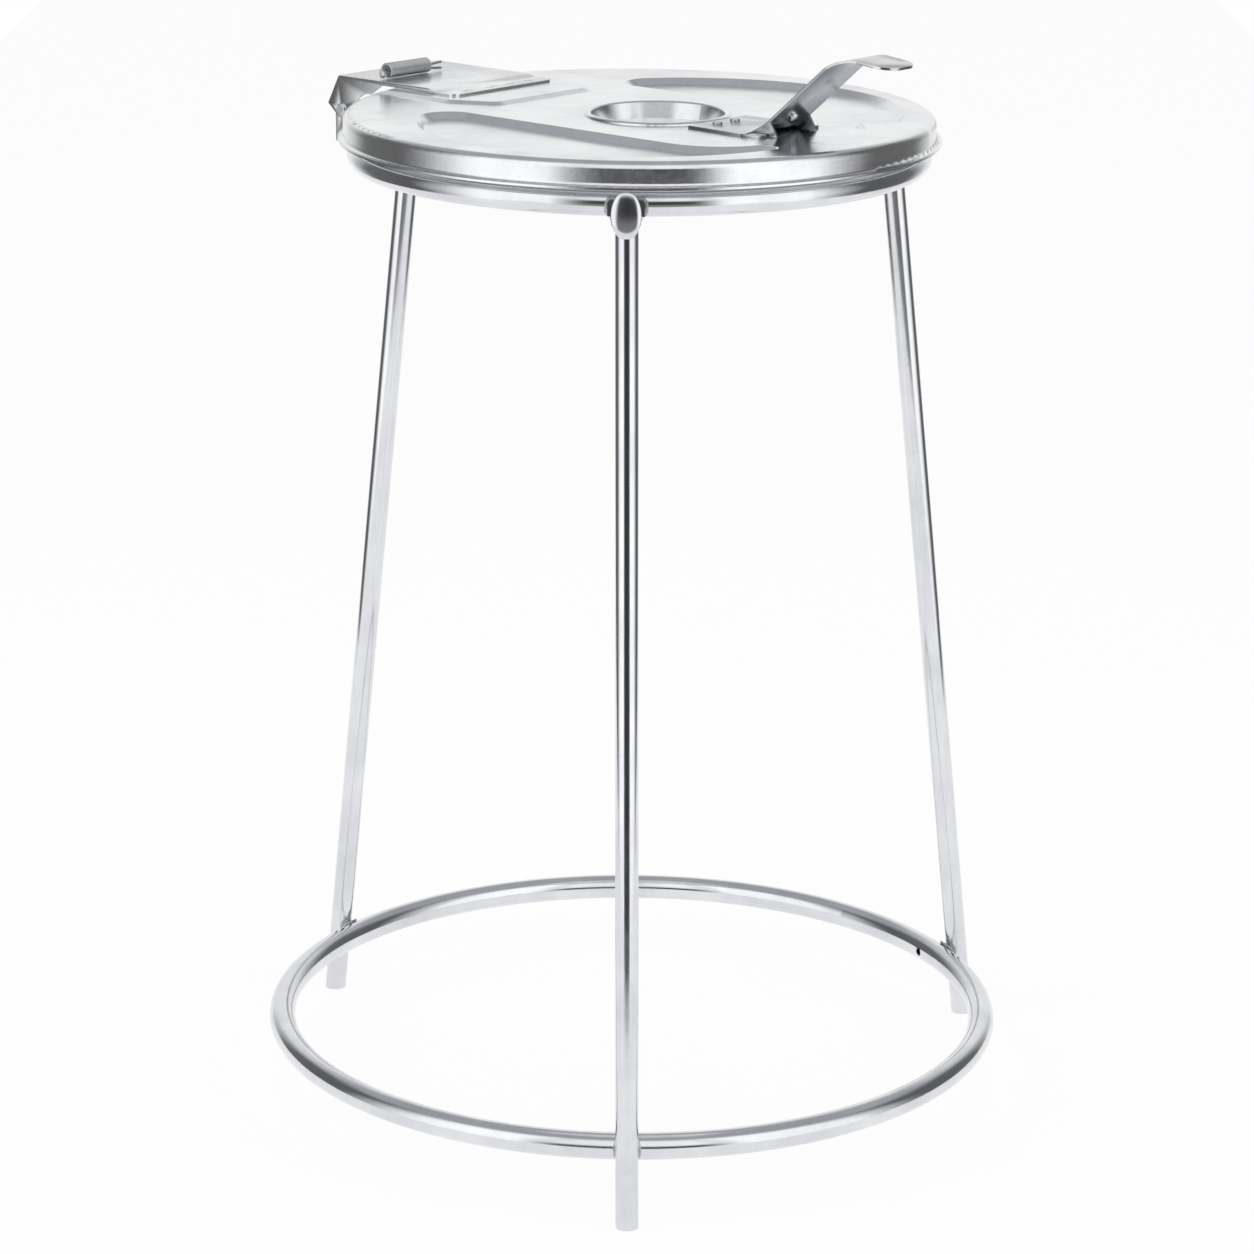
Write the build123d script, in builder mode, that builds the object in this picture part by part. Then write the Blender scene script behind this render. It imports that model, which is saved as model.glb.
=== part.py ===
"""Stand that holds a refuse sack open: a top ring on three splayed legs, a base ring, and a
pressed sheet lid with a lifting handle, hinged to the top ring.

Millimetres. Z is up and z = 0 is the floor. The rings' axis is the Z axis, the handle is
toward -Y, and the hinge is at +Y with its pin along X.
"""

from build123d import *
from math import atan2, cos, degrees, pi, radians, sin, sqrt, tan
import os

# Tubes of the stand
ring_tube = 19.0
leg_tube = 16.0
tube_wall = 1.5
weld_gap = 0.05

# Base ring, and how far the open feet reach below it
base_ring_radius = 263.5
foot_drop = 50.0

# Top ring, which carries the hem of the sack
top_ring_radius = 198.5
top_ring_height = 701.0

# Legs: where each foot and each head lies round the rings, in degrees
leg_names = ("leg_front", "leg_right", "leg_rear")
foot_angles = (-139.5, -24.0, 96.6)
head_angles = (-141.3, -24.9, 98.1)
head_inset = 2.0
flat_width = 25.0
flat_thickness = 3.0
flat_rise = 3.5
flat_length = 11.0
flatten_length = 15.0
vent_diameter = 6.0
vent_offset = 13.0
weld_height = 1.8
weld_spread = 4.0

# Lid: one pressing of thin sheet
sheet = 0.9
lid_overhang = 2.5
lid_flange = 4.0
lid_gap = 1.0
lid_depth = 18.5
shoulder_radius = 6.0
flare_radius = 3.0
hem_height = 1.5

# Sunk panels, one each side of the lid's middle band
panel_depth = 4.5
panel_wall_run = 5.0
panel_edge = 1.6
panel_chord = 88.0
panel_radius = 150.0
panel_centre = (35.0, -22.0)
panel_straight_end = -105.0
panel_tip = (49.0, -153.0)
panel_corner = 22.0
panel_tip_corner = 6.5

# Well in the lid's middle band, with its standing lip
well_centre_y = -17.0
well_radius = 47.5
well_depth = 10.0
well_draft = 12.0
well_lip_height = 2.0
well_lip_width = 5.0
well_lip_crest = 1.7

# Raised pad that the hinge strap lies on
pad_height = 2.0
pad_reach = 43.0
pad_inner_half = 52.0
pad_outer_half = 70.0
pad_waist_rise = 36.0
pad_slope_run = 6.0
pad_corner = 14.0

# Hinge
pin_reach = 32.5
pin_diameter = 6.0
pin_head_diameter = 8.0
pin_head_height = 1.0
running_clearance = 0.06
side_clearance = 0.4
strap_sheet = 1.5
strap_half = 53.0
strap_length = 118.0
strap_past_pin = 2.0
strap_lift = 2.0
joggle_start = 19.0
joggle_run = 9.0
ear_reach = 13.5
ear_eye = 6.2
ear_rear_rise = 3.4
ear_throat = (19.0, 10.5)
ear_root = (25.0, 14.0)
ear_eye_turn = 40.0
flange_clearance = 0.3
rim_gap = 2.0
bracket_sheet = 2.0
bracket_eye = 7.5
bracket_drop = 24.0
bracket_toe = 10.0
bracket_toe_drop = 30.0
strap_corner = 6.0
strap_bend = 1.4
strap_pin_fit = 0.15
pin_head_gap = 0.1
spot_weld_diameter = 5.0
spot_weld_depth = 0.25
spot_weld_points = ((-30.0, 138.5), (-2.0, 138.5), (14.0, 138.5), (34.0, 138.5))

# Coil spring that lies on the strap, and the split pin through it
wire = 1.4
coil_outside = 11.0
coil_pitch = 1.95
coil_turns = 22
coil_x = -19.0
coil_before_pin = 35.0
coil_seat_gap = 0.3
split_pin_wire = 1.9
split_pin_gap = 0.5
split_pin_overhang = 15.0
split_pin_splay = 4.0

# Handle
handle_sheet = 1.8
handle_base_half = 33.0
handle_base_taper = 2.0
handle_base_start = -71.5
handle_base_end = -136.0
handle_bend_y = -124.6
handle_crest = (-192.9, 60.5)
handle_tip = (-235.0, 56.0)
handle_bend_radius = 14.0
handle_crest_radius = 35.0
lever_half = 22.0
tongue_half = 18.0
lever_neck = 22.0
tongue_corner = 14.0
lever_flange = 9.0
flange_toe = 19.0
flange_heel_run = 6.0
relief_width = 1.6
relief_overlap = 4.0
handle_rivet_x = 9.5
handle_rivet_y = -80.0
handle_rivet_head = 7.0
handle_rivet_shank = 4.0
rivet_fit = 0.05
rivet_head_height = 1.4


os.makedirs("parts", exist_ok=True)


def keep(builder, name):
    """Label a finished piece and write it as its own file."""
    builder.part.label = name
    export_step(builder.part, f"parts/{name}.step")


def around(radius, angle, height):
    """Point at a radius and an angle in degrees round the stand's axis."""
    return Vector(radius * cos(radians(angle)), radius * sin(radians(angle)), height)


# Positions, heights and radii that follow from the sizes above
base_ring_height = foot_drop
ring_top = top_ring_height + ring_tube / 2
lid_radius = top_ring_radius + ring_tube / 2 + lid_overhang
pin_y = lid_radius + lid_flange + pin_reach
pin_height = ring_top
strap_rear_y = pin_y + strap_past_pin
strap_inner_y = strap_rear_y - strap_length
joggle_start_y = strap_inner_y + joggle_start
pad_inner_y = strap_inner_y - pad_reach
coil_centre = (coil_x, pin_y - coil_before_pin)
lid_bottom = ring_top + lid_gap
lid_top = lid_bottom + lid_depth
pad_top = lid_top + pad_height
lean_run = base_ring_radius - top_ring_radius
lean = atan2(lean_run, top_ring_height - base_ring_height)
leg_offset = (ring_tube + leg_tube) / 2 + weld_gap
foot_radius = base_ring_radius + leg_offset / cos(lean)
head_radius = top_ring_radius + head_inset
handle_rivet_points = [(-handle_rivet_x, handle_rivet_y), (handle_rivet_x, handle_rivet_y)]
rivet_hole = handle_rivet_shank + 2 * rivet_fit

# Rings: each is one tube bent round and welded to itself, with a vent beside a leg so that
# zinc and trapped gas could leave it
def tube_ring(radius, height, vents):
    """Hollow ring round the Z axis, vented through its inner wall."""
    with BuildPart() as ring:
        with BuildSketch(Plane.XZ):
            with Locations((radius, height)):
                Circle(ring_tube / 2)
                Circle(ring_tube / 2 - tube_wall, mode=Mode.SUBTRACT)
        revolve(axis=Axis.Z)
        for angle in vents:
            inward = -around(1, angle, 0)
            mouth = Plane(origin=around(radius, angle, height), z_dir=inward)
            with BuildSketch(mouth):
                Circle(vent_diameter / 2)
            extrude(amount=ring_tube, mode=Mode.SUBTRACT)
    return ring


def vent_angle(angle, radius):
    """Angle of a vent that lies a set distance round the ring from a leg."""
    return angle + degrees(vent_offset / radius)


base_ring = tube_ring(
    base_ring_radius,
    base_ring_height,
    [vent_angle(a, base_ring_radius) for a in foot_angles[1:]],
)
keep(base_ring, "base_ring")
top_ring = tube_ring(
    top_ring_radius,
    top_ring_height,
    [vent_angle(a, top_ring_radius) for a in head_angles[1:]],
)
keep(top_ring, "top_ring")


def solid_ring(radius, height, tube):
    """Ring without a bore, used to fit other pieces to the outside of a tube ring."""
    with BuildPart(mode=Mode.PRIVATE) as ring:
        with BuildSketch(Plane.XZ):
            with Locations((radius, height)):
                Circle(tube / 2)
        revolve(axis=Axis.Z)
    return ring.part


base_ring_outside = solid_ring(base_ring_radius, base_ring_height, ring_tube + 2 * weld_gap)
top_ring_outside = solid_ring(top_ring_radius, top_ring_height, ring_tube + 2 * weld_gap)


# Legs: tube, flattened at the head and bent to lie on the top ring's outer face
flat_radius = top_ring_radius + (ring_tube + flat_thickness) / 2 + 2 * weld_gap
flat_bottom = top_ring_height + flat_rise - flat_length
flatten_start = flat_bottom - flatten_length / 2


def leg_axis(foot_angle, head_angle):
    """Foot point at the base ring's height and head point at the top ring's height."""
    foot = around(foot_radius, foot_angle, base_ring_height)
    head = around(head_radius, head_angle, top_ring_height)
    return foot, head


def leg_solid(foot_angle, head_angle, wall):
    """Leg: an open tube below, a flattened tongue above. With no wall it has no bore."""
    foot, head = leg_axis(foot_angle, head_angle)
    along = (head - foot).normalized()
    out = around(1, head_angle, 0)
    side = around(1, head_angle + 90, 0)
    start = foot + along * ((flatten_start - foot.Z) / along.Z)
    below = foot - along * (2 * foot_drop)
    tube_end = Plane(origin=start, x_dir=side, z_dir=along)
    flat_low = Plane(
        origin=around(flat_radius, head_angle, flat_bottom), x_dir=side, z_dir=(0, 0, 1)
    )
    face_out = Plane(
        origin=around(flat_radius - flat_thickness / 2, head_angle, flat_bottom),
        x_dir=side,
        z_dir=out,
    )
    with BuildPart() as leg:
        with BuildSketch(Plane(origin=below, x_dir=side, z_dir=along)):
            Circle(leg_tube / 2)
        extrude(amount=(start - below).length)
        with BuildSketch(tube_end):
            Circle(leg_tube / 2)
        with BuildSketch(flat_low):
            SlotOverall(flat_width, flat_thickness)
        loft()
        with BuildSketch(face_out):
            with Locations((0, flat_length / 2)):
                RectangleRounded(flat_width, flat_length, flat_thickness)
            with Locations((0, flat_length / 4)):
                Rectangle(flat_width, flat_length / 2)
        extrude(amount=flat_thickness)
        if wall:
            with BuildSketch(Plane(origin=below, x_dir=side, z_dir=along)):
                Circle(leg_tube / 2 - wall)
            extrude(amount=(start - below).length, mode=Mode.SUBTRACT)
        split(bisect_by=Plane.XY, keep=Keep.TOP)
    return leg


legs = {}
for name, foot_angle, head_angle in zip(leg_names, foot_angles, head_angles):
    leg = leg_solid(foot_angle, head_angle, tube_wall)
    legs[name] = leg.part
    keep(leg, name)


# Weld beads: the metal that fills the crease between a leg and a ring, shaped as the space
# that is near both of them
def crease(tube_radius, angle_pairs, ring_radius, ring_height, outside):
    """Fillet of weld round each crossing of a leg and a ring, as one group of solids."""
    fat_ring = solid_ring(ring_radius, ring_height, ring_tube + 2 * weld_height)
    lows = []
    for foot_angle, head_angle in angle_pairs:
        foot, head = leg_axis(foot_angle, head_angle)
        along = (head - foot).normalized()
        middle = foot + along * ((ring_height - foot.Z) / along.Z)
        lows.append(Plane(origin=middle - along * ring_tube, z_dir=along))
    with BuildPart() as beads:
        for low in lows:
            with BuildSketch(low):
                Circle(tube_radius + weld_spread)
            extrude(amount=2 * ring_tube)
        add(fat_ring, mode=Mode.INTERSECT)
        add(outside, mode=Mode.SUBTRACT)
        for low in lows:
            with BuildSketch(low):
                Circle(tube_radius)
            extrude(amount=2 * ring_tube, mode=Mode.SUBTRACT)
    return beads


pairs = list(zip(foot_angles, head_angles))
foot_welds = crease(
    leg_tube / 2, pairs, base_ring_radius, base_ring_height, base_ring_outside
)
keep(foot_welds, "foot_welds")

fat_top_ring = solid_ring(top_ring_radius, top_ring_height, ring_tube + 2 * weld_height)
with BuildPart() as head_welds:
    for head_angle in head_angles:
        behind = Plane(
            origin=around(top_ring_radius, head_angle, flat_bottom),
            x_dir=around(1, head_angle + 90, 0),
            z_dir=around(1, head_angle, 0),
        )
        with BuildSketch(behind):
            with Locations((0, flat_length / 2)):
                RectangleRounded(
                    flat_width + 2 * weld_height,
                    flat_length + 2 * weld_height,
                    flat_thickness + weld_height,
                )
        extrude(amount=ring_tube)
    add(fat_top_ring, mode=Mode.INTERSECT)
    add(top_ring_outside, mode=Mode.SUBTRACT)
    for leg_part in legs.values():
        add(leg_part, mode=Mode.SUBTRACT)
keep(head_welds, "head_welds")


# Lid. The sheet is an outer form less an inner form, and both carry the same pressed features
def lid_profile(inset):
    """Half section of the lid's form. With an inset it is the inside of the sheet."""
    wall = lid_radius - inset
    top = lid_top - inset
    shoulder = shoulder_radius - inset
    flare = flare_radius + inset
    flare_top = lid_bottom + hem_height + flare_radius
    brow = flare_top - flare
    low = lid_bottom - lid_gap if inset else lid_bottom
    rim = wall + flare if inset else lid_radius + lid_flange
    with BuildLine() as outline:
        Polyline((0, top), (0, low), (rim, low), (rim, brow))
        if rim > wall + flare:
            Line((rim, brow), (wall + flare, brow))
        TangentArc((wall + flare, brow), (wall, flare_top), tangent=(-1, 0))
        Line((wall, flare_top), (wall, top - shoulder))
        TangentArc((wall, top - shoulder), (wall - shoulder, top), tangent=(0, 1))
        Line((wall - shoulder, top), (0, top))
    return outline.line


def panel_face(grow):
    """The +X sunk panel's outline at its upper edge, grown all round: chord, tail and arc."""
    centre = Vector(*panel_centre)
    reach = sqrt(panel_radius**2 - (panel_chord - centre.X) ** 2)
    hinge_end = (panel_chord, centre.Y + reach)
    bend = (panel_chord, panel_straight_end)
    tail_reach = sqrt(panel_radius**2 - (panel_tip[0] - centre.X) ** 2)
    tail_end = (panel_tip[0], centre.Y - tail_reach)
    with BuildSketch() as face:
        with BuildLine():
            Line(hinge_end, bend)
            TangentArc(bend, panel_tip, tangent=(0, -1))
            Line(panel_tip, tail_end)
            ThreePointArc(tail_end, (centre.X + panel_radius, centre.Y), hinge_end)
        make_face()
        fillet(face.vertices().sort_by(Axis.Y)[:2], panel_tip_corner)
        fillet(face.vertices().sort_by(Axis.Y)[-1], panel_corner)
        offset(amount=grow)
    return face.sketch


def pad_face(grow):
    """The hinge pad's outline at its foot, grown all round, out to the lid's shoulder."""
    edge = lid_radius - shoulder_radius
    corner_y = sqrt(edge**2 - pad_outer_half**2)
    waist_y = pad_inner_y + pad_waist_rise
    with BuildSketch() as face:
        with BuildLine():
            Polyline(
                (-pad_outer_half, corner_y),
                (-pad_outer_half, waist_y),
                (-pad_inner_half, pad_inner_y),
                (pad_inner_half, pad_inner_y),
                (pad_outer_half, waist_y),
                (pad_outer_half, corner_y),
            )
            ThreePointArc((pad_outer_half, corner_y), (0, edge), (-pad_outer_half, corner_y))
        make_face()
        fillet(face.vertices().sort_by(Axis.Y)[:4], pad_corner)
        offset(amount=grow)
    return face.sketch


def well_profile(inset):
    """Half section of the well and its lip, to turn about the well's own axis."""
    top = lid_top - inset
    floor = top - well_depth
    floor_radius = well_radius - (well_depth + well_lip_height) * tan(radians(well_draft))
    crest = well_radius + well_lip_crest
    with BuildLine() as lip:
        foot = (well_radius + well_lip_width - inset, top - 2 * sheet)
        Polyline((0, top - 2 * sheet), foot, (foot[0], top))
        ThreePointArc(
            (foot[0], top),
            (crest, top + well_lip_height),
            (well_radius + inset, top + well_lip_height / 2),
        )
        Polyline(
            (well_radius + inset, top + well_lip_height / 2),
            (0, top + well_lip_height / 2),
            (0, top - 2 * sheet),
        )
    with BuildLine() as bowl:
        high = top + 2 * well_lip_height
        Polyline(
            (0, floor),
            (floor_radius + inset, floor),
            (well_radius + inset, top + well_lip_height / 2),
            (well_radius + inset, high),
            (0, high),
            (0, floor),
        )
    return lip.line, bowl.line


def tapered(face_of, run, low, high, shift):
    """Ruled form between an outline and the same outline drawn in by a run."""
    with BuildPart(mode=Mode.PRIVATE) as form:
        with BuildSketch(Plane.XY.offset(low)):
            add(face_of(shift))
        with BuildSketch(Plane.XY.offset(high)):
            add(face_of(shift - run))
        loft(ruled=True)
    return form.part


def lid_form(inset):
    """Whole lid as a solid form with its panels, pad, lip and well."""
    top = lid_top - inset
    panel_shift = inset * tan(atan2(panel_depth, panel_wall_run) / 2)
    pad_shift = -inset * tan(atan2(pad_height, pad_slope_run) / 2)
    panel = tapered(panel_face, panel_wall_run, top, top - panel_depth, panel_shift)
    pad = tapered(pad_face, pad_slope_run, top, top + pad_height, pad_shift)
    lip, bowl = well_profile(inset)
    well_plane = Plane(origin=(0, well_centre_y, 0), x_dir=(1, 0, 0), z_dir=(0, -1, 0))
    well_axis = Axis((0, well_centre_y, 0), (0, 0, 1))
    with BuildPart() as form:
        with BuildSketch(Plane.XZ):
            add(lid_profile(inset))
            make_face()
        revolve(axis=Axis.Z)
        add(panel, mode=Mode.SUBTRACT)
        add(panel.mirror(Plane.YZ), mode=Mode.SUBTRACT)
        rims = form.edges().filter_by_position(Axis.Z, top - 0.01, top + 0.01)
        rims = [edge for edge in rims if edge.center().X and edge.length < pi * lid_radius]
        fillet(rims, panel_edge - inset)
        add(pad)
        with BuildSketch(well_plane):
            add(lip)
            make_face()
        revolve(axis=well_axis)
        with BuildSketch(well_plane):
            add(bowl)
            make_face()
        revolve(axis=well_axis, mode=Mode.SUBTRACT)
    return form


with BuildPart() as lid:
    add(lid_form(0).part)
    add(lid_form(sheet).part, mode=Mode.SUBTRACT)
    with BuildSketch(Plane.XY.offset(lid_top - 2 * sheet)):
        with Locations(*handle_rivet_points):
            Circle(rivet_hole / 2)
    extrude(amount=4 * sheet, mode=Mode.SUBTRACT)
keep(lid, "lid")


# Hinge strap: a channel whose side walls end in ears round the pin, stepped down at its
# inner end to lie on the pad, where it is spot welded
strap_inner_top = pad_top + strap_sheet
strap_outer_top = strap_inner_top + strap_lift
wall_foot = pad_top + flange_clearance
rim_clear = lid_radius + lid_flange + rim_gap


def level_point(angle, radius):
    """Point of the YZ plane at a radius and an angle in degrees round the hinge pin."""
    return (pin_y + radius * cos(radians(angle)), pin_height + radius * sin(radians(angle)))


with BuildPart() as hinge_strap:
    with BuildSketch(Plane.YZ):
        with BuildLine():
            Polyline(
                (strap_rear_y, strap_outer_top),
                (joggle_start_y + joggle_run, strap_outer_top),
                (joggle_start_y, strap_inner_top),
                (strap_inner_y, strap_inner_top),
            )
            offset(amount=strap_sheet, side=Side.LEFT)
        make_face()
    extrude(amount=strap_half, both=True)
    fillet(
        hinge_strap.edges().filter_by(Axis.Z).group_by(Axis.Y)[0],
        strap_corner,
    )
    with BuildSketch(Plane.YZ.offset(strap_half - strap_sheet)):
        with BuildLine():
            Polyline(
                (strap_rear_y, strap_outer_top),
                (pin_y + ear_reach, pin_height + ear_rear_rise),
                level_point(-ear_eye_turn, ear_eye),
                (pin_y, pin_height),
                level_point(ear_eye_turn - 180, ear_eye),
                (pin_y - ear_throat[0], pin_height + ear_throat[1]),
                (pin_y - ear_root[0], pin_height + ear_root[1]),
                (rim_clear, pin_height + ear_root[1]),
                (lid_radius - shoulder_radius, wall_foot),
                (joggle_start_y + joggle_run, wall_foot),
                (joggle_start_y, strap_inner_top),
                (joggle_start_y + joggle_run, strap_outer_top),
                (strap_rear_y, strap_outer_top),
            )
        make_face()
        with Locations((pin_y, pin_height)):
            Circle(ear_eye)
            Circle(pin_diameter / 2 + strap_pin_fit, mode=Mode.SUBTRACT)
    extrude(amount=strap_sheet)
    mirror(about=Plane.YZ)
    upper = hinge_strap.edges().filter_by(GeomType.LINE).filter_by(
        lambda edge: abs(edge.center().X) > strap_half - 0.01
        and edge.center().Z > strap_outer_top - 0.01
    )
    fillet(upper, strap_bend)
    with BuildSketch(Plane.XY.offset(strap_inner_top)):
        with Locations(*spot_weld_points):
            Circle(spot_weld_diameter / 2)
    extrude(amount=-spot_weld_depth, mode=Mode.SUBTRACT)
keep(hinge_strap, "hinge_strap")

# Ring-side bracket: a channel welded to the top ring's outer face, with an eye each side
bracket_half = strap_half - strap_sheet - side_clearance
bracket_back = pin_y + bracket_eye
with BuildPart() as hinge_bracket:
    with BuildSketch(Plane.YZ.offset(bracket_half - bracket_sheet)):
        with BuildLine():
            Polyline(
                level_point(90, bracket_eye),
                (pin_y, pin_height),
                (bracket_back, pin_height),
                (bracket_back, pin_height - bracket_drop),
                (bracket_back - bracket_toe, pin_height - bracket_toe_drop),
                (top_ring_radius - ring_tube / 2, top_ring_height - ring_tube / 2),
                (top_ring_radius, top_ring_height + ring_tube / 4),
                (rim_clear, pin_height - ring_tube / 4),
                level_point(90, bracket_eye),
            )
        make_face()
        with Locations((pin_y, pin_height)):
            Circle(bracket_eye)
            Circle(pin_diameter / 2 + running_clearance, mode=Mode.SUBTRACT)
    extrude(amount=bracket_sheet)
    mirror(about=Plane.YZ)
    with BuildSketch(Plane.YZ):
        with BuildLine():
            Polyline(
                (bracket_back, pin_height - bracket_eye),
                (bracket_back, pin_height - bracket_drop),
                (bracket_back - bracket_toe, pin_height - bracket_toe_drop),
            )
            offset(amount=bracket_sheet, side=Side.RIGHT)
        make_face()
    extrude(amount=bracket_half - bracket_sheet, both=True)
    add(top_ring_outside, mode=Mode.SUBTRACT)
keep(hinge_bracket, "hinge_bracket")

with BuildPart() as bracket_welds:
    with BuildSketch(Plane.YZ.offset(bracket_half - bracket_sheet - weld_height)):
        with Locations((top_ring_radius, top_ring_height)):
            Circle(ring_tube / 2 + weld_height)
    extrude(amount=bracket_sheet + 2 * weld_height)
    mirror(about=Plane.YZ)
    add(fat_top_ring, mode=Mode.INTERSECT)
    add(top_ring_outside, mode=Mode.SUBTRACT)
    add(hinge_bracket.part, mode=Mode.SUBTRACT)
    split(bisect_by=Plane.XZ.offset(-top_ring_radius), keep=Keep.BOTTOM)
keep(bracket_welds, "bracket_welds")

# Hinge pin, headed over both ears
with BuildPart() as hinge_pin:
    with BuildSketch(Plane.YZ):
        with Locations((pin_y, pin_height)):
            Circle(pin_diameter / 2)
    extrude(amount=strap_half + pin_head_gap, both=True)
    with BuildSketch(Plane.YZ.offset(strap_half + pin_head_gap)):
        with Locations((pin_y, pin_height)):
            Circle(pin_head_diameter / 2)
    extrude(amount=pin_head_height)
    mirror(about=Plane.YZ)
    ends = hinge_pin.faces().sort_by(Axis.X)
    fillet([ends[0].edges()[0], ends[-1].edges()[0]], pin_head_height / 2)
keep(hinge_pin, "hinge_pin")


# Coil spring on the strap: one wire, each half turn as two arcs that meet smoothly
coil_axis_height = strap_outer_top + coil_seat_gap + coil_outside / 2
coil_radius = (coil_outside - wire) / 2
coil_start = coil_centre[0] - coil_pitch * coil_turns / 2


def coil_point(turn):
    """Point of the spring's centre line after a number of turns."""
    angle = 2 * pi * turn
    return Vector(
        coil_start + coil_pitch * turn,
        coil_centre[1] + coil_radius * cos(angle),
        coil_axis_height + coil_radius * sin(angle),
    )


def coil_tangent(turn):
    """Direction of the spring's centre line after a number of turns."""
    angle = 2 * pi * turn
    around_axis = 2 * pi * coil_radius
    return Vector(
        coil_pitch, -around_axis * sin(angle), around_axis * cos(angle)
    ).normalized()


def meeting_point(start, end, start_way, end_way):
    """Where the two arcs of a biarc meet, and the direction they share there."""
    chord = end - start
    both = start_way + end_way
    bend = 2 * (1 - start_way.dot(end_way))
    reach = sqrt(chord.dot(both) ** 2 + bend * chord.dot(chord)) - chord.dot(both)
    reach /= bend
    middle = (start + end + (start_way - end_way) * reach) / 2
    return middle, (middle - start - start_way * reach).normalized()


with BuildPart() as hinge_spring:
    with BuildLine() as coil:
        for half in range(2 * coil_turns):
            start, end = coil_point(half / 2), coil_point((half + 1) / 2)
            start_way, end_way = coil_tangent(half / 2), coil_tangent((half + 1) / 2)
            middle, middle_way = meeting_point(start, end, start_way, end_way)
            TangentArc(start, middle, tangent=start_way)
            TangentArc(middle, end, tangent=middle_way)
    with BuildSketch(Plane(origin=coil_point(0), z_dir=coil_tangent(0))):
        Circle(wire / 2)
    sweep()
keep(hinge_spring, "hinge_spring")
steps = 24
line_points = [coil_point(turn / steps) for turn in range(coil_turns * steps + 1)]
least_gap = min(
    (a - b).length - wire
    for index, a in enumerate(line_points)
    for b in line_points[index + steps // 2 :]
)
print("spring: least gap between turns", round(least_gap, 3))

# Split pin through the spring: one wire doubled back, an eye at one end, splayed at the other
pin_leg = (split_pin_wire + split_pin_gap) / 2
split_pin_drop = coil_outside / 2 - wire - pin_leg - split_pin_wire / 2 - coil_seat_gap
coil_end = coil_start + coil_pitch * coil_turns
eye_near = coil_start - split_pin_gap
eye_far = eye_near - 3 * split_pin_wire
eye_half = split_pin_wire * 1.4
splay = split_pin_overhang * tan(radians(split_pin_splay))
upper_leg = [
    (coil_end + split_pin_overhang, pin_leg + splay),
    (coil_end, pin_leg),
    (eye_near, pin_leg),
    (eye_near - split_pin_wire, eye_half),
    (eye_far, eye_half),
]
lower_leg = [(x, -z) for x, z in reversed(upper_leg)]
leg_bends = [6 * split_pin_wire, split_pin_wire, split_pin_wire, 1.2 * split_pin_wire]
with BuildPart() as split_pin:
    middle = Plane(
        origin=(0, coil_centre[1], coil_axis_height - split_pin_drop),
        x_dir=(1, 0, 0),
        z_dir=(0, -1, 0),
    )
    with BuildLine(middle) as pin_line:
        FilletPolyline(*upper_leg, *lower_leg, radius=leg_bends + leg_bends[::-1])
    first = pin_line.wires()[0]
    with BuildSketch(Plane(origin=first @ 0, z_dir=first % 0)):
        Circle(split_pin_wire / 2)
    sweep()
keep(split_pin, "split_pin")


# Handle: one pressing. A flat foot is riveted to the lid, and a channel rises from it to a
# tongue that the fingers lift
handle_top = lid_top + handle_sheet
crest = (handle_crest[0], lid_top + handle_crest[1])
tip_end = (handle_tip[0], lid_top + handle_tip[1])
bend = (handle_bend_y, handle_top)
lever_slope = degrees(atan2(crest[1] - bend[1], bend[0] - crest[0]))


def lever_line():
    """Upper side of the pressing, from the foot's inner edge to the tongue's tip."""
    with BuildLine() as line:
        FilletPolyline(
            (handle_base_start, handle_top),
            bend,
            crest,
            tip_end,
            radius=[handle_bend_radius, handle_crest_radius],
        )
    return line.line


def lever_point(share, depth):
    """Point under the lever's upper side, at a share of the way up its straight rise."""
    y = bend[0] + (crest[0] - bend[0]) * share
    z = bend[1] + (crest[1] - bend[1]) * share
    slope = radians(lever_slope)
    return (y + depth * sin(slope), z - depth * cos(slope))


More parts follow.
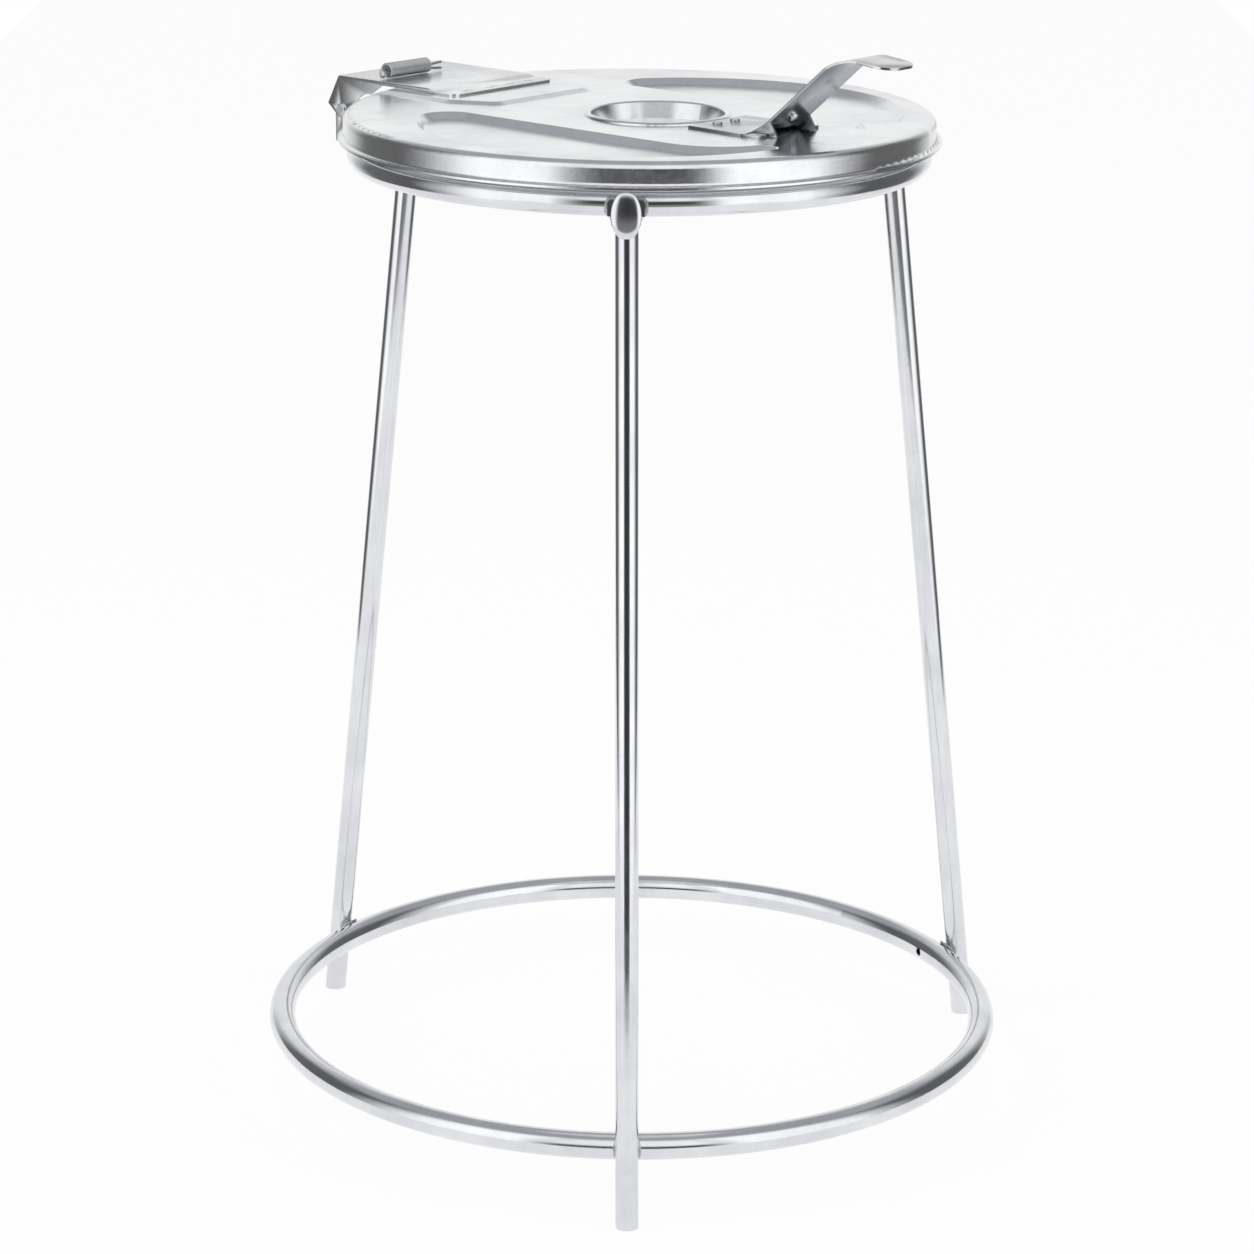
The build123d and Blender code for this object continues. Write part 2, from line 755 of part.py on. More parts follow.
flange_heel = (bend[0] + flange_heel_run, lid_top + handle_sheet / 2)
flange_foot = lid_top + flange_clearance
with BuildPart() as handle:
    with BuildSketch(Plane.YZ):
        with BuildLine():
            add(lever_line())
            offset(amount=handle_sheet, side=Side.LEFT)
        make_face()
    extrude(amount=handle_base_half, both=True)
    with BuildSketch(Plane.XY.offset(lid_top)) as plan:
        with BuildLine():
            Polyline(
                (0, handle_base_start),
                (handle_base_half - handle_base_taper, handle_base_start),
                (handle_base_half, handle_bend_y),
                (lever_half, handle_bend_y),
                (lever_half, crest[0] + lever_neck / 3),
                (tongue_half, crest[0] - lever_neck * 2 / 3),
                (tongue_half, handle_tip[0]),
                (0, handle_tip[0]),
                (0, handle_base_start),
            )
        make_face()
        mirror(about=Plane.YZ)
        fillet(plan.vertices().group_by(Axis.Y)[0], tongue_corner)
    extrude(amount=2 * handle_crest[1], mode=Mode.INTERSECT)
    with BuildSketch(Plane.XY.offset(lid_top)):
        with BuildLine():
            Polyline(
                (lever_half + relief_width, handle_bend_y + relief_overlap),
                (handle_base_half, handle_bend_y + relief_overlap),
                (handle_base_half, handle_base_end),
                (lever_half + relief_width, handle_base_end),
                (lever_half + relief_width, handle_bend_y + relief_overlap),
            )
        make_face()
        mirror(about=Plane.YZ)
    extrude(amount=handle_sheet)
    with BuildSketch(Plane.YZ.offset(lever_half - handle_sheet)):
        with BuildLine():
            Polyline(
                flange_heel,
                lever_point(0.12, handle_sheet / 2),
                lever_point(0.78, handle_sheet / 2),
                lever_point(0.84, lever_flange * 0.7),
                lever_point(0.5, lever_flange),
                lever_point(0.28, lever_flange + 1.0),
                (bend[0] - flange_toe, flange_foot),
                (bend[0] + flange_heel_run / 3, flange_foot),
                flange_heel,
            )
        make_face()
    extrude(amount=handle_sheet)
    mirror(about=Plane.YZ)
    with BuildSketch(Plane.XY.offset(lid_top)):
        with Locations(*handle_rivet_points):
            Circle(rivet_hole / 2)
    extrude(amount=handle_sheet, mode=Mode.SUBTRACT)
keep(handle, "handle")

with BuildPart() as handle_rivets:
    under = lid_top - sheet - rivet_head_height
    with BuildSketch(Plane.XY.offset(under)):
        with Locations(*handle_rivet_points):
            Circle(handle_rivet_head / 2)
    extrude(amount=rivet_head_height)
    with BuildSketch(Plane.XY.offset(under)):
        with Locations(*handle_rivet_points):
            Circle(handle_rivet_shank / 2)
    extrude(amount=sheet + handle_sheet + 2 * rivet_head_height)
    with BuildSketch(Plane.XY.offset(handle_top)):
        with Locations(*handle_rivet_points):
            Circle(handle_rivet_head / 2)
    extrude(amount=rivet_head_height)
    rims = handle_rivets.edges().filter_by(GeomType.CIRCLE).group_by(Axis.Z)
    fillet(rims[-1] + rims[0], rivet_head_height * 0.8)
keep(handle_rivets, "handle_rivets")
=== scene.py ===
# %% [markdown]
# # A sack stand in bright zinc
# The stand is two steel rings on three splayed legs, with a pressed lid hinged to the top ring.
# Its shapes and sizes come from a packed engineering model. This script gives each piece its
# finish, adds the fine detail, and sets the camera and a plain pale studio round it.

from math import cos, pi, radians, sin

import bmesh
import bpy
from mathutils import Matrix, Vector


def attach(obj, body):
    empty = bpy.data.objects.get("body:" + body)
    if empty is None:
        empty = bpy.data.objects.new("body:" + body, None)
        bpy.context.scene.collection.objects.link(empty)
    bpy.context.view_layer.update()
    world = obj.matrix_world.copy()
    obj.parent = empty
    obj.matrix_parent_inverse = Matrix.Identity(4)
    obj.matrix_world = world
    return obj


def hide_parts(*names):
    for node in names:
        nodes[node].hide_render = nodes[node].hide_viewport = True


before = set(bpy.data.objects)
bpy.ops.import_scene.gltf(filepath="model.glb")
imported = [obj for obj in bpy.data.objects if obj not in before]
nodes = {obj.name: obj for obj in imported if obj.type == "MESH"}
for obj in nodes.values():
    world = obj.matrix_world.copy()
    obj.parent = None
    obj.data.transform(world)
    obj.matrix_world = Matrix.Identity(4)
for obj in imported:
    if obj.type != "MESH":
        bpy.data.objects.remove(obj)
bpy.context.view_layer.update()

# %% [markdown]
# ## Small helpers
# An operator acts on everything that is selected, so each step starts from nothing selected.
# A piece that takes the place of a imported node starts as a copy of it, with its loose triangles
# merged, because only joined faces can share a smooth normal.

# %% Helpers
MERGE_DISTANCE = 1e-6


def deselect():
    """Leave object mode with nothing selected."""
    if bpy.context.object and bpy.context.object.mode != "OBJECT":
        bpy.ops.object.mode_set(mode="OBJECT")
    bpy.ops.object.select_all(action="DESELECT")


def activate(piece):
    """Select one object and make it the active one."""
    deselect()
    piece.select_set(True)
    bpy.context.view_layer.objects.active = piece
    return piece


def smooth(piece, angle=30):
    """Shade smooth, keeping edges sharper than an angle crisp."""
    activate(piece)
    bpy.ops.object.shade_smooth_by_angle(angle=radians(angle))


def settle(piece):
    """Put the object's place into its mesh, so the object itself sits at the origin."""
    activate(piece)
    bpy.ops.object.transform_apply(location=True, rotation=True, scale=True)


def stand_for(node, name, body, angle=30, bevel=0.0):
    """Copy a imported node, merge its triangles, soften its edges and let it replace the node."""
    piece = nodes[node].copy()
    piece.data = nodes[node].data.copy()
    piece.parent = None
    piece.name = name
    for key in list(piece.keys()):
        del piece[key]
    bpy.context.scene.collection.objects.link(piece)
    activate(piece)
    bpy.ops.object.mode_set(mode="EDIT")
    bpy.ops.mesh.select_all(action="SELECT")
    bpy.ops.mesh.remove_doubles(threshold=MERGE_DISTANCE)
    bpy.ops.mesh.customdata_custom_splitnormals_clear()
    bpy.ops.mesh.tris_convert_to_quads(face_threshold=radians(1), shape_threshold=radians(180))
    bpy.ops.object.mode_set(mode="OBJECT")
    if bevel:
        edge = piece.modifiers.new("soft_edge", "BEVEL")
        edge.width = bevel
        edge.segments = 2
        edge.limit_method = "ANGLE"
        edge.angle_limit = radians(50)
        edge.harden_normals = False
        bpy.ops.object.modifier_apply(modifier=edge.name)
    smooth(piece, angle)
    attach(piece, body)
    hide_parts(node)
    return piece


# %% [markdown]
# ## Camera
# A long lens looks from the handle's left, a little above the lid. The camera's turn is built from
# its heading, its dip and a slight lean, in that order, as on a tripod head.

# %% Camera
eye = Vector((-2.15791, -1.87584, 1.18565))
heading, dip, lean = radians(41.1203), radians(16.3188), radians(0.4802)
ahead = Vector((cos(heading) * cos(dip), sin(heading) * cos(dip), -sin(dip)))
level_right = ahead.cross(Vector((0, 0, 1))).normalized()
level_up = level_right.cross(ahead)
right = level_right * cos(lean) + level_up * sin(lean)
up = right.cross(ahead)
camera_data = bpy.data.cameras.new("camera")
camera_data.lens = 116.121
camera_data.sensor_width = 36.0
camera_data.clip_end = 50.0
camera = bpy.data.objects.new("camera", camera_data)
camera.matrix_world = Matrix(
    (
        (right.x, up.x, -ahead.x, eye.x),
        (right.y, up.y, -ahead.y, eye.y),
        (right.z, up.z, -ahead.z, eye.z),
        (0, 0, 0, 1),
    )
)
bpy.context.scene.collection.objects.link(camera)
bpy.context.scene.camera = camera
print("camera", [round(v, 3) for v in camera.location], "lens", camera_data.lens)

# %% [markdown]
# ## Studio
# Bright metal shows what stands round it, so the room is drawn as a map of brightness by direction.
# It is white behind the stand and at both sides of the camera, dark straight behind the camera,
# nearly black at the far sides and grey above. Those give the dark stripe down each tube and the
# bands round the lid's rim. The camera itself sees a white room, by way of Light Path.

# %% Node helpers
# A colour Mix node's own sockets, by number: the two colours in and the colour out.
COLOUR_A, COLOUR_B, COLOUR_OUT = 6, 7, 2
world = bpy.data.worlds.new("studio")
bpy.context.scene.world = world
world.use_nodes = True
tree = world.node_tree
tree.nodes.clear()


def node(kind, **settings):
    """Add a node to the tree in hand and set its plain properties."""
    made = tree.nodes.new(kind)
    for key, value in settings.items():
        setattr(made, key, value)
    return made


def link(source, target):
    """Join an output socket to an input socket."""
    tree.links.new(source, target)


def sums(operation, first, second=0.0):
    """One step of arithmetic on sockets or numbers."""
    step = node("ShaderNodeMath", operation=operation)
    for socket, value in zip(step.inputs, (first, second)):
        if isinstance(value, (int, float)):
            socket.default_value = value
        else:
            link(value, socket)
    return step.outputs["Value"]


def ranged(value, low, high, to_low=0.0, to_high=1.0):
    """Stretch a value's range onto another, held at its ends."""
    spread = node("ShaderNodeMapRange")
    ends = {"From Min": low, "From Max": high, "To Min": to_low, "To Max": to_high}
    link(value, spread.inputs["Value"])
    for label, end in ends.items():
        if isinstance(end, (int, float)):
            spread.inputs[label].default_value = end
        else:
            link(end, spread.inputs[label])
    return spread.outputs["Result"]


def ramp(value, stops, top):
    """Grey level read off a row of (place, level) stops, for a value that runs from 0 to top."""
    scale = node("ShaderNodeValToRGB")
    link(sums("DIVIDE", value, top), scale.inputs["Fac"])
    elements = scale.color_ramp.elements
    while len(elements) < len(stops):
        elements.new(0.5)
    for element, (place, level) in zip(elements, stops):
        element.position = place / top
        element.color = (level, level, level, 1)
    return scale.outputs["Color"]


def mixed(factor, first, second):
    """Mix two colours by a mask."""
    mix = node("ShaderNodeMix", data_type="RGBA")
    link(factor, mix.inputs["Factor"])
    for socket, value in ((mix.inputs[COLOUR_A], first), (mix.inputs[COLOUR_B], second)):
        if isinstance(value, tuple):
            socket.default_value = (*value, 1)
        else:
            link(value, socket)
    return mix.outputs[COLOUR_OUT]


# %% [markdown]
# Two angles say where a reflected ray goes: its turn away from the camera's side, 0 to 180 degrees,
# and its rise above level. The turn reads a row of grey levels. Three patches are then laid over
# it by rise: one above and one below the dark patch, and the ceiling, which is lower at the back.

# %% World
# Each pair in AROUND is a turn in degrees and the grey level there.
toward = Vector((-ahead.x, -ahead.y, 0)).normalized()
aside = Vector((-ahead.y, ahead.x, 0)).normalized()
AROUND = (
    (0, 0.04),
    (22, 0.07),
    (34, 1.3),
    (70, 1.2),
    (84, 0.6),
    (98, 0.12),
    (132, 0.16),
    (154, 0.93),
    (180, 0.97),
)
PATCH_EDGE = (22, 34)
PATCH_TOP, ABOVE_PATCH = (11, 22), (1.1, 1.1, 1.1)
PATCH_FOOT, BELOW_PATCH = (-10, -17), (0.22, 0.22, 0.22)
CEILING_START, CEILING_TILT, CEILING_FADE = 41, 16, 16
CEILING = (0.42, 0.43, 0.45)
DEGREE = 180 / pi
way = node("ShaderNodeSeparateXYZ")
link(node("ShaderNodeTexCoord").outputs["Generated"], way.inputs["Vector"])
x, y, z = (way.outputs[axis] for axis in "XYZ")
front = sums("ADD", sums("MULTIPLY", x, toward.x), sums("MULTIPLY", y, toward.y))
side = sums("ADD", sums("MULTIPLY", x, aside.x), sums("MULTIPLY", y, aside.y))
turn = sums("MULTIPLY", sums("ARCTAN2", sums("ABSOLUTE", side), front), DEGREE)
rise = sums("MULTIPLY", sums("ARCSINE", z), DEGREE)
facing = sums("COSINE", sums("DIVIDE", turn, DEGREE))
level = ramp(turn, AROUND, 180)
in_front = ranged(turn, *PATCH_EDGE, 1.0, 0.0)
above_patch = sums("MULTIPLY", in_front, ranged(rise, *PATCH_TOP))
level = mixed(above_patch, level, ABOVE_PATCH)
below_patch = sums("MULTIPLY", in_front, ranged(rise, *PATCH_FOOT))
level = mixed(below_patch, level, BELOW_PATCH)
ceiling_start = sums("ADD", sums("MULTIPLY", facing, CEILING_TILT), CEILING_START)
ceiling = ranged(sums("SUBTRACT", rise, ceiling_start), 0, CEILING_FADE)
level = mixed(ceiling, level, CEILING)
path = node("ShaderNodeLightPath")
colour = mixed(path.outputs["Is Camera Ray"], level, (1.0, 1.0, 1.0))
background = node("ShaderNodeBackground")
link(colour, background.inputs["Color"])
out = node("ShaderNodeOutputWorld")
link(background.outputs["Background"], out.inputs["Surface"])
print("world nodes", len(tree.nodes))

# %% [markdown]
# The floor is a long matt sheet, nearly white. It ends 1.45 m in front of the stand's axis, so that
# most of the front leg mirrors the dark room past its edge. To the camera and in reflections it is
# mostly a plain white glow, so it meets the white room with no line.

# %% Floor and lamps
deselect()
FLOOR_LENGTH, FLOOR_WIDTH, FLOOR_FRONT = 12.0, 2.6, 1.45
FLOOR_GLOW = 0.93
bpy.ops.mesh.primitive_plane_add(size=1.0, rotation=(0, 0, heading))
floor = bpy.context.object
floor.name = "floor"
floor.scale = (FLOOR_LENGTH, FLOOR_WIDTH, 1)
floor.location = -toward * (FLOOR_LENGTH / 2 - FLOOR_FRONT)
floor_material = bpy.data.materials.new("floor_white")
floor_material.use_nodes = True
tree = floor_material.node_tree
paint = tree.nodes["Principled BSDF"]
paint.inputs["Base Color"].default_value = (0.86, 0.86, 0.87, 1)
paint.inputs["Roughness"].default_value = 0.9
paint.inputs["Specular IOR Level"].default_value = 0.1
glow = node("ShaderNodeEmission")
glow.inputs["Color"].default_value = (1, 1, 1, 1)
seen = node("ShaderNodeLightPath")
either = node("ShaderNodeMath", operation="MAXIMUM")
link(seen.outputs["Is Camera Ray"], either.inputs[0])
link(seen.outputs["Is Glossy Ray"], either.inputs[1])
share = node("ShaderNodeMath", operation="MULTIPLY")
link(either.outputs["Value"], share.inputs[0])
share.inputs[1].default_value = FLOOR_GLOW
blend = node("ShaderNodeMixShader")
link(share.outputs["Value"], blend.inputs["Fac"])
link(paint.outputs["BSDF"], blend.inputs[1])
link(glow.outputs["Emission"], blend.inputs[2])
link(blend.outputs["Shader"], tree.nodes["Material Output"].inputs["Surface"])
floor.data.materials.append(floor_material)


def lamp(name, place, aim, size, watts):
    """Soft area lamp that points at a place and isn't itself mirrored in the metal."""
    data = bpy.data.lights.new(name, "AREA")
    data.shape = "RECTANGLE"
    data.size, data.size_y = size
    data.energy = watts
    made = bpy.data.objects.new(name, data)
    made.location = place
    made.visible_glossy = False
    made.rotation_euler = (Vector(aim) - Vector(place)).to_track_quat("-Z", "Y").to_euler()
    bpy.context.scene.collection.objects.link(made)
    return made


middle = Vector((0, 0, 0.45))
near_side = middle - ahead * 0.9
TO_SIDE, SIDE_LAMP, TOP_LAMP = 2.4, (1.2, 2.2), (1.6, 1.6)
KEY_RISE, FILL_RISE, TOP_PLACE = Vector((0, 0, 1.4)), Vector((0, 0, 1.2)), Vector((0.3, 0.3, 2.6))
KEY_WATTS, FILL_WATTS, TOP_WATTS = 26, 20, 14
lamp("key", near_side + aside * TO_SIDE + KEY_RISE, middle, SIDE_LAMP, KEY_WATTS)
lamp("fill", near_side - aside * TO_SIDE + FILL_RISE, middle, SIDE_LAMP, FILL_WATTS)
lamp("top", middle + TOP_PLACE, middle, TOP_LAMP, TOP_WATTS)
bpy.context.scene.view_settings.view_transform = "Standard"

# %% [markdown]
# ## Finishes
# Everything here is steel under a bright zinc coat, so the finishes share two node groups. The
# first turns a place on a ring into distance round it, so that drawing marks run along a bent tube.
# The second is the coat itself: cloudy smudges, fine marks along the run of the metal, and a slight
# waviness, given out as colour, roughness and normal. Each material feeds them its own tones.

# %% Group helpers


def new_group(name, inputs, outputs):
    """Start a shader node group with named sockets and make its tree the one in hand."""
    global tree
    tree = bpy.data.node_groups.new(name, "ShaderNodeTree")
    for direction, sockets in (("INPUT", inputs), ("OUTPUT", outputs)):
        for label, kind, value in sockets:
            socket = tree.interface.new_socket(label, in_out=direction, socket_type=kind)
            if value is not None:
                socket.default_value = value
    return node("NodeGroupInput"), node("NodeGroupOutput")


def scaled(vector, factors):
    """Stretch a vector by three factors."""
    stretch = node("ShaderNodeVectorMath", operation="MULTIPLY")
    link(vector, stretch.inputs[0])
    stretch.inputs[1].default_value = factors
    return stretch.outputs["Vector"]


def noise(vector, scale, detail=3.0, roughness=0.55):
    """Soft noise read at a vector."""
    cloud = node("ShaderNodeTexNoise")
    link(vector, cloud.inputs["Vector"])
    cloud.inputs["Scale"].default_value = scale
    cloud.inputs["Detail"].default_value = detail
    cloud.inputs["Roughness"].default_value = roughness
    return cloud.outputs["Fac"]


# %% Group: distance round the stand's axis
VECTOR, COLOUR, NUMBER = "NodeSocketVector", "NodeSocketColor", "NodeSocketFloat"
RUN_RADIUS = 0.25
entry, exit_ = new_group("round_run", [("Vector", VECTOR, None)], [("Vector", VECTOR, None)])
split = node("ShaderNodeSeparateXYZ")
link(entry.outputs["Vector"], split.inputs["Vector"])
x, y, z = (split.outputs[axis] for axis in "XYZ")
angle = sums("ARCTAN2", y, x)
away = sums("SQRT", sums("ADD", sums("MULTIPLY", x, x), sums("MULTIPLY", y, y)))
join = node("ShaderNodeCombineXYZ")
for value, axis in zip((sums("MULTIPLY", angle, RUN_RADIUS), away, z), "XYZ"):
    link(value, join.inputs[axis])
link(join.outputs["Vector"], exit_.inputs["Vector"])
print("group", tree.name, "nodes", len(tree.nodes))

# %% Group: zinc coat
# Scales are in features per metre, and heights in metres.
SMUDGE_SCALE, SPECK_SCALE, WAVE_SCALE = 16.0, 420.0, 30.0
GRAIN_HEIGHT, WAVE_HEIGHT = 0.0001, 0.002
entry, exit_ = new_group(
    "zinc_coat",
    [
        ("Place", VECTOR, None),
        ("Run", VECTOR, None),
        ("Bright", COLOUR, (0.8, 0.8, 0.8, 1)),
        ("Dull", COLOUR, (0.6, 0.6, 0.6, 1)),
        ("Roughness", NUMBER, 0.2),
        ("Unevenness", NUMBER, 0.1),
        ("Grain", NUMBER, 0.1),
        ("Wave", NUMBER, 0.1),
    ],
    [("Color", COLOUR, None), ("Roughness", NUMBER, None), ("Normal", VECTOR, None)],
)
place, run = entry.outputs["Place"], entry.outputs["Run"]
smudge = ranged(noise(place, SMUDGE_SCALE, 5.0, 0.62), 0.34, 0.66)
speck = noise(place, SPECK_SCALE, 2.0)
grain = noise(run, 1.0, 3.0, 0.6)
wave = noise(place, WAVE_SCALE, 1.0)
tone = node("ShaderNodeMix", data_type="RGBA")
link(smudge, tone.inputs["Factor"])
link(entry.outputs["Dull"], tone.inputs[COLOUR_A])
link(entry.outputs["Bright"], tone.inputs[COLOUR_B])
shade = node("ShaderNodeMix", data_type="RGBA", blend_type="MULTIPLY")
shade.inputs["Factor"].default_value = 1.0
link(tone.outputs[COLOUR_OUT], shade.inputs[COLOUR_A])
grain_shade, speck_shade = ranged(grain, 0.3, 0.7, 0.94, 1.0), ranged(speck, 0.3, 0.7, 0.97, 1.0)
marks = sums("MULTIPLY", grain_shade, speck_shade)
link(marks, shade.inputs[COLOUR_B])
link(shade.outputs[COLOUR_OUT], exit_.inputs["Color"])
patchy = sums("MULTIPLY", sums("SUBTRACT", 0.5, smudge), entry.outputs["Unevenness"])
streaky = sums("MULTIPLY", sums("SUBTRACT", grain, 0.5), entry.outputs["Unevenness"])
uneven = sums("ADD", entry.outputs["Roughness"], sums("ADD", patchy, streaky))
link(uneven, exit_.inputs["Roughness"])
fine = node("ShaderNodeBump")
fine.inputs["Distance"].default_value = GRAIN_HEIGHT
link(entry.outputs["Grain"], fine.inputs["Strength"])
link(grain, fine.inputs["Height"])
broad = node("ShaderNodeBump")
broad.inputs["Distance"].default_value = WAVE_HEIGHT
link(entry.outputs["Wave"], broad.inputs["Strength"])
link(wave, broad.inputs["Height"])
link(fine.outputs["Normal"], broad.inputs["Normal"])
link(broad.outputs["Normal"], exit_.inputs["Normal"])
print("group", tree.name, "nodes", len(tree.nodes))

# %% [markdown]
# A material is then short: Object coordinates, the way the metal runs, the coat's group and one
# shader. Tubes and rings run along their length, and pressed sheet along the way it was rolled. In
# `run`, the smallest of the three numbers is the way the drawing marks are long.

# %% Materials


def zinc(name, bright, dull, roughness, uneven, grain, wave, run=(300, 300, 8), ring=False):
    """Zinc-coated steel whose drawing marks follow the run of the piece."""
    global tree
    made = bpy.data.materials.new(name)
    made.use_nodes = True
    tree = made.node_tree
    surface = tree.nodes["Principled BSDF"]
    surface.inputs["Metallic"].default_value = 1.0
    coords = node("ShaderNodeTexCoord").outputs["Object"]
    coat = node("ShaderNodeGroup", node_tree=bpy.data.node_groups["zinc_coat"])
    link(coords, coat.inputs["Place"])
    along = coords
    if ring:
        turn = node("ShaderNodeGroup", node_tree=bpy.data.node_groups["round_run"])
        link(coords, turn.inputs["Vector"])
        along = turn.outputs["Vector"]
    link(scaled(along, run), coat.inputs["Run"])
    coat.inputs["Bright"].default_value = (*bright, 1)
    coat.inputs["Dull"].default_value = (*dull, 1)
    values = {"Roughness": roughness, "Unevenness": uneven, "Grain": grain, "Wave": wave}
    for label, value in values.items():
        coat.inputs[label].default_value = value
    link(coat.outputs["Color"], surface.inputs["Base Color"])
    link(coat.outputs["Roughness"], surface.inputs["Roughness"])
    link(coat.outputs["Normal"], surface.inputs["Normal"])
    return made


TUBE_BRIGHT, TUBE_DULL = (0.82, 0.83, 0.85), (0.70, 0.71, 0.74)
TUBE = {"bright": TUBE_BRIGHT, "dull": TUBE_DULL, "uneven": 0.08, "grain": 0.25, "wave": 0.03}
ring_zinc = zinc("ring_zinc", **TUBE, roughness=0.14, run=(8, 300, 300), ring=True)
leg_zinc = zinc("leg_zinc", **TUBE, roughness=0.12)
lid_zinc = zinc(
    "lid_zinc",
    bright=(0.86, 0.87, 0.88),
    dull=(0.76, 0.77, 0.79),
    roughness=0.20,
    uneven=0.12,
    grain=0.2,
    wave=0.05,
    run=(10, 350, 350),
)
hinge_zinc = zinc(
    "hinge_zinc",
    bright=(0.84, 0.85, 0.86),
    dull=(0.70, 0.71, 0.73),
    roughness=0.24,
    uneven=0.16,
    grain=0.3,
    wave=0.06,
    run=(12, 400, 400),
)
# The handle's zinc has darker tones than the other sheet parts. This is painted shade and a painted
# dark reflection: the lever mirrors the dark room and its underside is in shadow.
handle_zinc_painted_dark = zinc(
    "handle_zinc_painted_dark",
    bright=(0.72, 0.74, 0.76),
    dull=(0.48, 0.50, 0.52),
    roughness=0.17,
    uneven=0.12,
    grain=0.3,
    wave=0.06,
    run=(400, 14, 400),
)
wire_zinc = zinc(
    "wire_zinc",
    bright=(0.80, 0.81, 0.82),
    dull=(0.58, 0.59, 0.61),
    roughness=0.20,
    uneven=0.14,
    grain=0.3,
    wave=0.04,
    run=(500, 500, 500),
)
pin_zinc = zinc(
    "pin_zinc",
    bright=(0.74, 0.75, 0.77),
    dull=(0.52, 0.53, 0.55),
    roughness=0.26,
    uneven=0.14,
    grain=0.3,
    wave=0.03,
    run=(14, 500, 500),
)
rivet_zinc = zinc(
    "rivet_zinc",
    bright=(0.80, 0.81, 0.82),
    dull=(0.60, 0.61, 0.63),
    roughness=0.26,
    uneven=0.16,
    grain=0.3,
    wave=0.05,
    run=(600, 600, 600),
)
weld_zinc = zinc(
    "weld_zinc",
    bright=(0.66, 0.66, 0.67),
    dull=(0.42, 0.42, 0.43),
    roughness=0.38,
    uneven=0.22,
    grain=0.9,
    wave=0.5,
    run=(900, 900, 900),
)
print("materials", [made.name for made in bpy.data.materials])

# %% [markdown]
# ## Tubes
# Each ring is one drawn tube bent round and butt welded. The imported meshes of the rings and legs
# are already fine enough to be round, so they stay as they are and only get their finish.

# %% Rings and legs


def finish_with(piece, made):
    """Give a piece one finish and say how large its mesh is."""
    piece.data.materials.clear()
    piece.data.materials.append(made)
    print(piece.name, "faces", len(piece.data.polygons))
    return piece


def coat_node(name, made):
    """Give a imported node, whose shape stays as it is, its finish."""
    for place in nodes[name].material_slots:
        place.material = made
    print(name, "keeps its packed mesh, faces", len(nodes[name].data.polygons))


for ring_node in ("base_ring", "top_ring"):
    coat_node(ring_node, ring_zinc)
for leg_node in ("leg_front", "leg_right", "leg_rear"):
    coat_node(leg_node, leg_zinc)

# %% [markdown]
# The head of each leg isn't quite flat. Squeezing the tube leaves a low crown on its outer face,
# which carries the dark stripe up to the ring. A squashed ball, sunk into each head, makes it.

# %% Leg head crowns
CROWN_HALF = Vector((0.0027, 0.0105, 0.0165))
CROWN_BELOW_TOP, CROWN_SUNK = 0.0105, 0.0006
for leg_node in ("leg_front", "leg_right", "leg_rear"):
    corners = [corner.co for corner in nodes[leg_node].data.vertices]
    top = max(corner.z for corner in corners)
    head = [corner for corner in corners if corner.z > top - CROWN_BELOW_TOP]
    centre = sum(head, Vector()) / len(head)
    out_way = Vector((centre.x, centre.y, 0)).normalized()
    face_reach = max(corner.dot(out_way) for corner in head)
    side_way = Vector((-out_way.y, out_way.x, 0))
    deselect()
    bpy.ops.mesh.primitive_uv_sphere_add(segments=48, ring_count=32, radius=1.0)
    crown = bpy.context.object
    crown.name = leg_node + "_crown"
    crown.scale = CROWN_HALF
    crown.rotation_euler = (0, 0, out_way.to_2d().angle_signed(Vector((1, 0))))
    middle_side = centre.dot(side_way)
    crown.location = out_way * (face_reach - CROWN_SUNK) + side_way * middle_side
    crown.location.z = top - CROWN_BELOW_TOP
    settle(crown)
    bpy.ops.object.shade_smooth()
    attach(crown, "frame")
    crown.data.materials.append(leg_zinc)
    print(crown.name, "faces", len(crown.data.polygons))

# %% [markdown]
# ## Welds
# A weld bead isn't a clean fillet: it freezes in ripples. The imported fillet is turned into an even
# skin of small faces, and a noise texture pushes that skin in and out by part of a millimetre.

# %% Weld beads
SKIN_CELL, RIPPLE_SIZE, RIPPLE_DEPTH = 0.00045, 0.0022, 0.0011


def bead_for(node_name, name):
    """Turn a packed fillet into a rippled weld bead."""
    bead = stand_for(node_name, name, "frame", 60)
    activate(bead)
    skin = bead.modifiers.new("skin", "REMESH")
    skin.mode = "VOXEL"
    skin.voxel_size = SKIN_CELL
    bpy.ops.object.modifier_apply(modifier=skin.name)
    ripple_noise = bpy.data.textures.new(name + "_ripple", "CLOUDS")
    ripple_noise.noise_scale = RIPPLE_SIZE
    ripple = bead.modifiers.new("ripple", "DISPLACE")
    ripple.texture = ripple_noise
    ripple.texture_coords = "LOCAL"
    ripple.strength = RIPPLE_DEPTH
    ripple.mid_level = 0.42
    bpy.ops.object.modifier_apply(modifier=ripple.name)
    ease = bead.modifiers.new("ease", "SMOOTH")
    ease.iterations = 2
    bpy.ops.object.modifier_apply(modifier=ease.name)
    bpy.ops.object.shade_smooth()
    return finish_with(bead, weld_zinc)


for weld_node in ("foot_welds", "head_welds", "bracket_welds"):
    bead_for(weld_node, weld_node.replace("welds", "beads"))

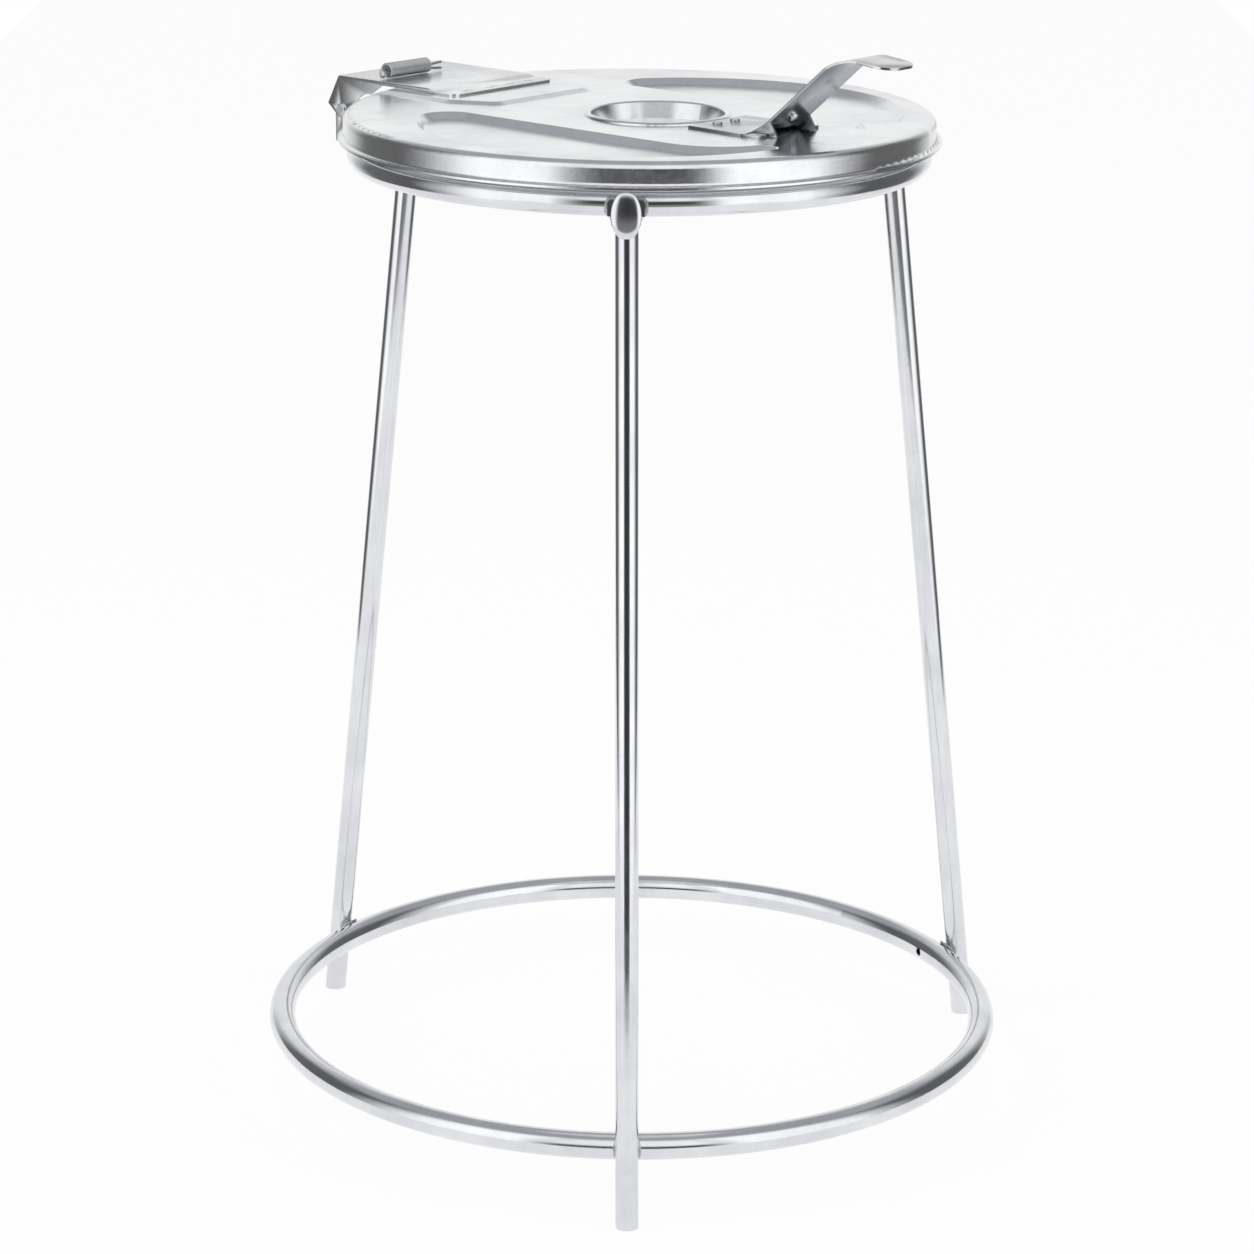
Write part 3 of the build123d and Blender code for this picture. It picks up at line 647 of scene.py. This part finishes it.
# %% [markdown]
# ## Lid
# The lid is one pressing, from a single flat blank: a turned-down wall, two sunk panels, a round
# well and a raised pad under the hinge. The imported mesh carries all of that, so it keeps its shape.

# %% Lid
coat_node("lid", lid_zinc)

# %% [markdown]
# ## Hinge
# A folded strap is spot welded to the lid, a bracket is welded to the top ring, and one long pin
# joins them. A close coil spring lies on the strap with a split pin through it. A cut edge of sheet
# catches the light, so the two plates are copied and the copies get a small bevel.

# %% Hinge
strap = stand_for("hinge_strap", "hinge_strap_plate", "lid", 35, 0.00018)
finish_with(strap, hinge_zinc)
bracket = stand_for("hinge_bracket", "hinge_bracket_plate", "frame", 35, 0.0002)
finish_with(bracket, hinge_zinc)
coat_node("hinge_pin", pin_zinc)
coat_node("hinge_spring", wire_zinc)
coat_node("split_pin", pin_zinc)

# %% [markdown]
# ## Handle
# The handle is one bent strip with its sides turned down, held by two rivets. Under the lever sits
# one more stud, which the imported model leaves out. It's a short cylinder with its end rounded.

# %% Handle
handle = stand_for("handle", "handle_lever", "lid", 35, 0.00025)
# The lever gets the darker zinc, which carries painted shade and a painted dark reflection.
finish_with(handle, handle_zinc_painted_dark)
coat_node("handle_rivets", rivet_zinc)

# %% Lever stud
STUD_PLACE, STUD_WAY = Vector((0.0, -0.1407, 0.7413)), Vector((0.0, -0.663, -0.748))
STUD_RADIUS, STUD_HEIGHT = 0.0036, 0.0028
deselect()
bpy.ops.mesh.primitive_cylinder_add(vertices=40, radius=STUD_RADIUS, depth=STUD_HEIGHT)
stud = bpy.context.object
stud.name = "lever_stud"
bpy.ops.object.mode_set(mode="EDIT")
bpy.ops.mesh.select_mode(type="FACE")
bpy.ops.mesh.select_all(action="DESELECT")
cage = bmesh.from_edit_mesh(stud.data)
for face in cage.faces:
    face.select_set(face.normal.z > 0.9)
bmesh.update_edit_mesh(stud.data)
bpy.ops.mesh.bevel(offset=STUD_HEIGHT * 0.8, segments=5, profile=0.5)
bpy.ops.object.mode_set(mode="OBJECT")
stud.rotation_euler = STUD_WAY.to_track_quat("Z", "Y").to_euler()
stud.location = STUD_PLACE
settle(stud)
smooth(stud, 50)
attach(stud, "lid")
finish_with(stud, rivet_zinc)
